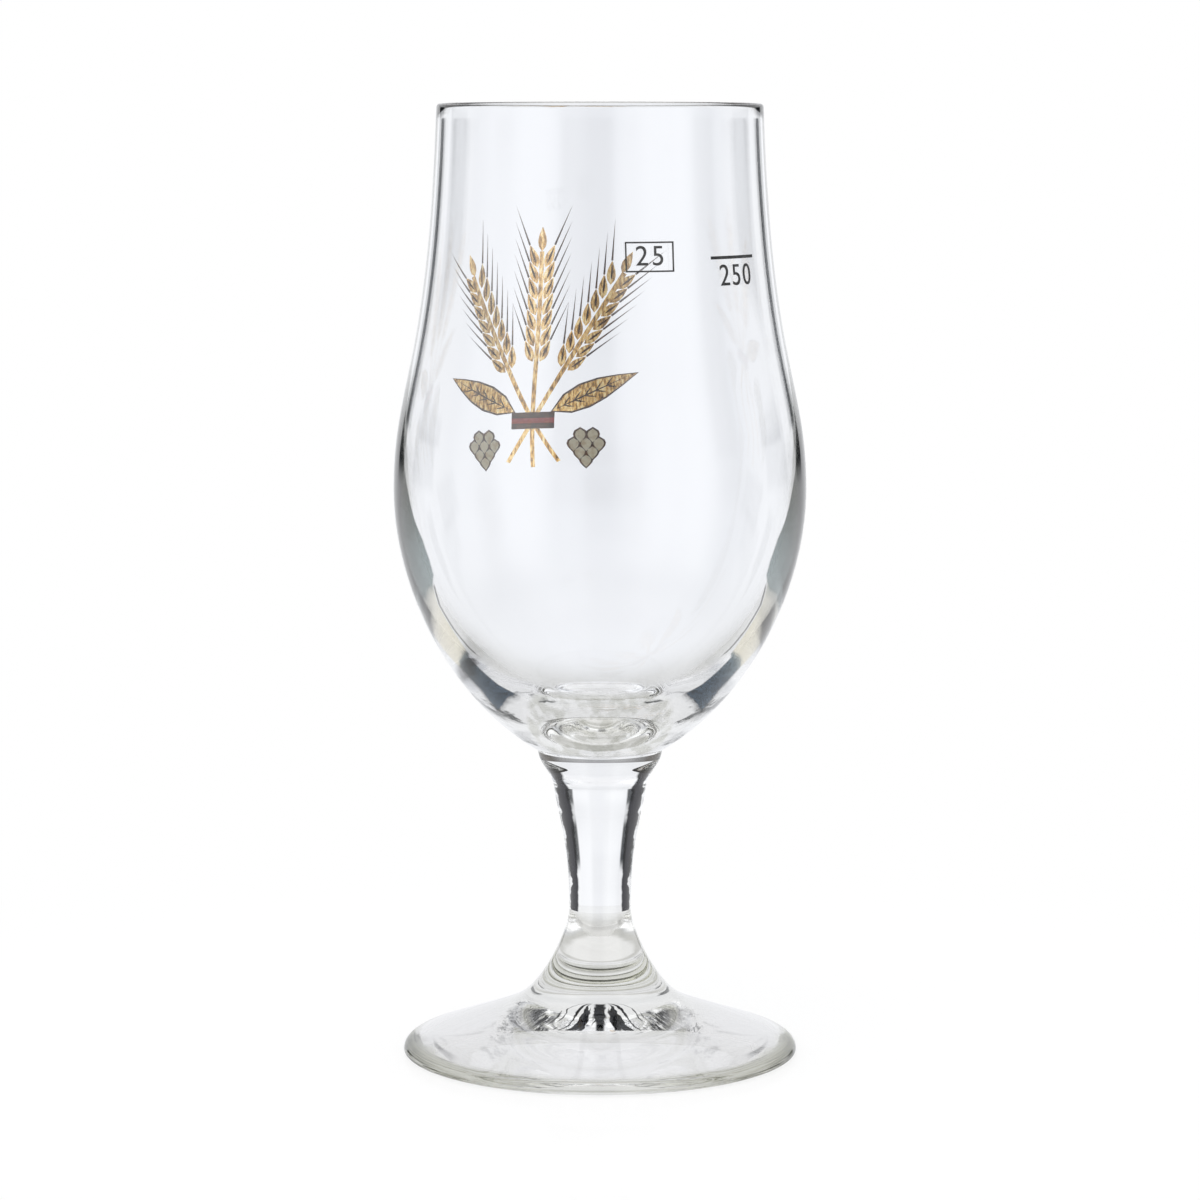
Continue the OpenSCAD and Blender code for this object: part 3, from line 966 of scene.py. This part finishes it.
def frame_lines():
    """A plain rectangular frame of thin lines."""
    bm = bmesh.new()
    made = bmesh.ops.create_grid(bm, x_segments=FRAME_STEPS, y_segments=1, size=0.5)["verts"]
    bmesh.ops.scale(bm, verts=made, vec=(FRAME_W, FRAME_H, 1))
    bmesh.ops.rotate(bm, verts=made, cent=(0, 0, 0), matrix=UPRIGHT)
    bmesh.ops.translate(bm, verts=made, vec=(0, 0, FRAME_Z))
    inner = bmesh.ops.inset_region(
        bm, faces=bm.faces, thickness=FRAME_LINE, use_even_offset=True, use_boundary=True)
    ring = set(inner["faces"])
    bmesh.ops.delete(bm, geom=[face for face in bm.faces if face not in ring], context="FACES")
    thickened(bm)
    return bm


def figures(words, height, middle_z, gap):
    """Plain figures, as a flat drawing with its middle at a height."""
    data = bpy.data.curves.new("figures", "FONT")
    data.body = words
    data.size = height / FIGURE_SHARE
    data.space_character = gap
    data.align_x = "CENTER"
    data.align_y = "CENTER"
    data.extrude = (LINE_RISE + LINE_SINK) / 2
    written = bpy.data.objects.new("figures", data)
    mesh = bpy.data.meshes.new_from_object(written)
    bpy.data.objects.remove(written)
    bm = bmesh.new()
    bm.from_mesh(mesh)
    bpy.data.meshes.remove(mesh)
    bmesh.ops.remove_doubles(bm, verts=bm.verts, dist=MERGE_DIST)
    bmesh.ops.rotate(bm, verts=bm.verts, cent=(0, 0, 0), matrix=UPRIGHT)
    bmesh.ops.translate(bm, verts=bm.verts, vec=(0, (LINE_RISE - LINE_SINK) / 2, middle_z))
    return bm


# Fired enamel: where its layer is thin, how its gloss varies, and its orange peel
THIN_SCALE = 900
THIN_CONTRAST = (0.42, 0.7)
ENAMEL_GLOSS_SCALE = 2600
ENAMEL_GLOSS_SPREAD = 0.2
PEEL_SCALE = 3000
PEEL_DEPTH = 0.02 * MM

# Fired gold, which changes colour at random along fine brush marks, its darkest tones painted dark
# reflection
GOLD_TONES = [
    (0.3, (0.16, 0.08, 0.02)), (0.42, (0.45, 0.25, 0.07)), (0.52, (0.8, 0.5, 0.17)),
    (0.62, (0.96, 0.74, 0.36)), (0.75, (1, 0.88, 0.6))]
BRUSH_SCALE = 520
BRUSH_STRETCH = 4
BRUSH_DEPTH = 0.02 * MM
GOLD_ROUGHNESS = 0.06
GOLD_ROUGHNESS_SPREAD = 0.22
GOLD_GLOSS_SCALE = 900


def enamel(name, colour, worn, roughness):
    """Fired enamel: a colour that is uneven where the layer is thinner, with a fine orange peel."""
    made, tree, shader = material(name)
    thin = step_up(tree, noise(tree, spot(tree), THIN_SCALE, 4), *THIN_CONTRAST)
    gloss = noise(tree, spot(tree), ENAMEL_GLOSS_SCALE)
    feed(
        tree, shader, Base_Color=blended(tree, thin, colour, worn),
        Roughness=maths(tree, "MULTIPLY_ADD", gloss, ENAMEL_GLOSS_SPREAD, roughness),
        Normal=bumped(tree, noise(tree, spot(tree), PEEL_SCALE), PEEL_DEPTH))
    return made


def gold():
    """Bright fired gold, burnished unevenly, with fine brush marks along it and streaks of painted dark
    reflection.
    """
    made, tree, shader = material("bright_gold")
    x, y, z = place(tree)[:3]
    stroke = vector(tree, product(tree, x, BRUSH_STRETCH), product(tree, y, BRUSH_STRETCH), z)
    brushed = noise(tree, stroke, BRUSH_SCALE, 5)
    gloss = noise(tree, stroke, GOLD_GLOSS_SCALE)
    feed(
        tree, shader, Base_Color=graded(tree, brushed, GOLD_TONES), Metallic=1,
        Roughness=maths(tree, "MULTIPLY_ADD", gloss, GOLD_ROUGHNESS_SPREAD, GOLD_ROUGHNESS),
        Normal=bumped(tree, brushed, BRUSH_DEPTH))
    return made


gold_mat = gold()
brown_mat = enamel("brown_enamel", (0.06, 0.022, 0.008), (0.17, 0.08, 0.035), 0.26)
cream_mat = enamel("cream_enamel", (0.86, 0.79, 0.6), (0.68, 0.56, 0.36), 0.3)
red_mat = enamel("red_enamel", (0.42, 0.03, 0.02), (0.55, 0.1, 0.05), 0.25)
black_mat = enamel("black_enamel", (0.012, 0.012, 0.013), (0.05, 0.05, 0.05), 0.25)
for node, finish in (
        ("gold_print", gold_mat), ("brown_print", brown_mat), ("cream_print", cream_mat),
        ("red_print", red_mat), ("fill_line", black_mat)):
    layer = frame["nodes"][node]
    if not layer.material_slots:
        layer.data.materials.append(finish)
    for held in layer.material_slots:
        held.material = finish

volume = figures("250", FIGURE_H, FILL_Z - FIGURES_DROP, FIGURE_GAP)
framed = figures("25", FRAME_FIGURE_H, FRAME_Z, FRAME_FIGURE_GAP)
bent("rib_lines", rib_lines(), SHEAF_TURN, brown_mat)
bent("figure_frame", frame_lines(), FRAME_TURN, black_mat)
bent("fill_figures", volume, FIGURES_TURN, black_mat)
bent("frame_figures", framed, FRAME_TURN, black_mat)

# Camera
CAMERA_AWAY = 778.5 * MM
CAMERA_H = 182.9 * MM
CAMERA_PITCH = 7.219
CAMERA_LENS = 128.49
SENSOR_W = 36


def camera():
    """The camera of the photograph, a little over the glass and looking down on it."""
    data = bpy.data.cameras.new("camera")
    data.sensor_width = SENSOR_W
    data.lens = CAMERA_LENS
    made = bpy.data.objects.new("camera", data)
    made.location = (0, -CAMERA_AWAY, CAMERA_H)
    made.rotation_euler = (math.radians(90 - CAMERA_PITCH), 0, 0)
    bpy.context.scene.collection.objects.link(made)
    bpy.context.scene.camera = made


# Studio seen in and through the glass. Angles are in degrees, from +Y towards +X and from level, and a
# pair of them is where something begins and ends.
BACKDROP = [
    (0, (0.92, 0.93, 0.955)), (7, (0.93, 0.94, 0.96)), (11, (0.97, 0.98, 1)), (24, (0.92, 0.93, 0.95)),
    (40, (0.93, 0.935, 0.945))]
LOW_BAND = (4, 19)
LOW_BAND_SOFT = 2
LOW_BAND_SHADE = 0.05
CAMERA_SIDE_COLOUR = (0.68, 0.7, 0.74)
CAMERA_SIDE_FROM = (76, 92)
CEILING_COLOUR = (0.93, 0.935, 0.95)
CEILING_FROM = (19, 28)
# Dark gaps between the soft boxes, which the prints and the front wall show
GAP_COLOUR = (0.12, 0.12, 0.13)
GAPS = ((94, 112), (170, 208))
GAP_HEIGHTS = (-5, 19)
GAP_SOFT = 4
SOFTBOX_COLOUR = (1.6, 1.6, 1.6)
SOFTBOXES = ((-149, -92), (114, 168))
SOFTBOX_HEIGHTS = (-30, 62)
SOFTBOX_SIDE_SOFT = 9
SOFTBOX_HEIGHT_SOFT = 6
# Share of the soft boxes that is seen through the glass
BOX_BEHIND_GLASS = 0.55
FLAG_COLOUR = (0.045, 0.05, 0.055)
FLAGS = ((27, 38), (52, 74))
FLAG_HEIGHTS = (-4, 5)
FLAG_SOFT = 1.5
# The table, and its part close to the glass, in degrees below level
TABLE_COLOUR = (0.62, 0.62, 0.6)
TABLE_FROM = (22, 42)
NEAR_TABLE_COLOUR = (0.93, 0.93, 0.93)
NEAR_TABLE_FROM = (44, 56)
# What dull surfaces are lit by
PLAIN_LIGHT = (0.88, 0.88, 0.88)


def world():
    """The studio, which is plain white where the camera sees it past the glass."""
    made = bpy.data.worlds.new("studio")
    bpy.context.scene.world = made
    made.use_nodes = True
    tree = made.node_tree
    direction = add(tree, "ShaderNodeTexCoord").outputs["Generated"]
    x, y, z = add(tree, "ShaderNodeSeparateXYZ", direction).outputs
    turn = maths(tree, "DEGREES", maths(tree, "ARCTAN2", x, y))
    off_axis = maths(tree, "ABSOLUTE", turn)
    elevation = maths(tree, "DEGREES", maths(tree, "ARCSINE", z))

    shade = product(tree, window(tree, elevation, *LOW_BAND, LOW_BAND_SOFT), LOW_BAND_SHADE)
    backdrop = blended(tree, shade, graded(tree, off_axis, BACKDROP), (0, 0, 0))
    studio = blended(tree, step_up(tree, off_axis, *CAMERA_SIDE_FROM), backdrop, CAMERA_SIDE_COLOUR)
    studio = blended(tree, step_up(tree, elevation, *CEILING_FROM), studio, CEILING_COLOUR)

    full_turn = maths(tree, "MULTIPLY_ADD", maths(tree, "LESS_THAN", turn, 0), 360, turn)
    gap_heights = window(tree, elevation, *GAP_HEIGHTS, GAP_SOFT)
    for low, high in GAPS:
        gap = product(tree, window(tree, full_turn, low, high, GAP_SOFT), gap_heights)
        studio = blended(tree, gap, studio, GAP_COLOUR)

    through_glass = maths(tree, "MULTIPLY_ADD", ray(tree, "Is Transmission Ray"), BOX_BEHIND_GLASS - 1, 1)
    box_heights = window(tree, elevation, *SOFTBOX_HEIGHTS, SOFTBOX_HEIGHT_SOFT)
    for low, high in SOFTBOXES:
        box = product(tree, window(tree, turn, low, high, SOFTBOX_SIDE_SOFT), box_heights, through_glass)
        studio = blended(tree, box, studio, SOFTBOX_COLOUR)

    flag_heights = window(tree, elevation, *FLAG_HEIGHTS, FLAG_SOFT)
    for low, high in FLAGS:
        flag = product(tree, window(tree, off_axis, low, high, FLAG_SOFT), flag_heights)
        studio = blended(tree, flag, studio, FLAG_COLOUR)

    below_level = product(tree, elevation, -1)
    studio = blended(tree, step_up(tree, below_level, *TABLE_FROM), studio, TABLE_COLOUR)
    studio = blended(tree, step_up(tree, below_level, *NEAR_TABLE_FROM), studio, NEAR_TABLE_COLOUR)
    studio = blended(tree, not_yet(tree, "Diffuse Depth"), PLAIN_LIGHT, studio)
    colour = blended(tree, ray(tree, "Is Camera Ray"), studio, (1, 1, 1))
    tree.links.new(colour, tree.nodes["Background"].inputs["Color"])


# Floor: white, with the glass's shade and a very faint mirror image near it, both of which fade out
# between two distances in millimetres
FLOOR_R = 3000 * MM
FLOOR_STEPS = 96
FLOOR_DROP = 0.02 * MM
FLOOR_FADE = (50, 190)
FLOOR_SHADE_SHARE = 0.22
FLOOR_MIRROR_SHARE = 0.035
FLOOR_MIRROR_ROUGHNESS = 0.05


def floor():
    """A wide white table, which only the camera sees and which takes the glass's shade."""
    bm = bmesh.new()
    bmesh.ops.create_circle(bm, cap_ends=True, segments=FLOOR_STEPS, radius=FLOOR_R)
    bmesh.ops.translate(bm, verts=bm.verts, vec=(0, 0, -FLOOR_DROP))
    mesh = bpy.data.meshes.new("floor")
    bm.to_mesh(mesh)
    bm.free()
    made, tree, shader = material("floor_white")
    tree.nodes.remove(shader)
    near = step_down(tree, in_mm(tree, place(tree)[3]), *FLOOR_FADE)
    shade_share = product(tree, near, FLOOR_SHADE_SHARE)
    mirror_share = product(tree, near, FLOOR_MIRROR_SHARE)
    glow = add(tree, "ShaderNodeEmission", (1, 1, 1, 1), 1)
    dull = add(tree, "ShaderNodeBsdfDiffuse", (1, 1, 1, 1))
    mirror = add(tree, "ShaderNodeBsdfAnisotropic", (1, 1, 1, 1), FLOOR_MIRROR_ROUGHNESS)
    shaded = add(tree, "ShaderNodeMixShader", shade_share, glow.outputs[0], dull.outputs[0])
    polished = add(tree, "ShaderNodeMixShader", mirror_share, shaded.outputs[0], mirror.outputs[0])
    tree.links.new(polished.outputs[0], output(tree))
    mesh.materials.append(made)
    piece = bpy.data.objects.new("floor", mesh)
    bpy.context.scene.collection.objects.link(piece)
    # Glass and metal see the same white table in the world
    piece.visible_glossy = False
    piece.visible_transmission = False
    piece.visible_diffuse = False


# Lamp: one large soft lamp from the upper left
LAMP_STRENGTH = 0.8
LAMP_SIZE = 50
LAMP_TILT = 38
LAMP_TURN = -35


def lamp():
    """The soft lamp, which the glass doesn't mirror."""
    data = bpy.data.lights.new("soft_lamp", "SUN")
    data.energy = LAMP_STRENGTH
    data.angle = math.radians(LAMP_SIZE)
    made = bpy.data.objects.new("soft_lamp", data)
    made.rotation_euler = (math.radians(LAMP_TILT), 0, math.radians(LAMP_TURN))
    made.visible_glossy = False
    made.visible_transmission = False
    bpy.context.scene.collection.objects.link(made)


camera()
world()
floor()
lamp()
bpy.context.scene.view_settings.view_transform = "Standard"
# Light crosses and rebounds in thick glass many times before it leaves
bpy.context.scene.cycles.max_bounces = 40
bpy.context.scene.cycles.glossy_bounces = 24
bpy.context.scene.cycles.transmission_bounces = 40
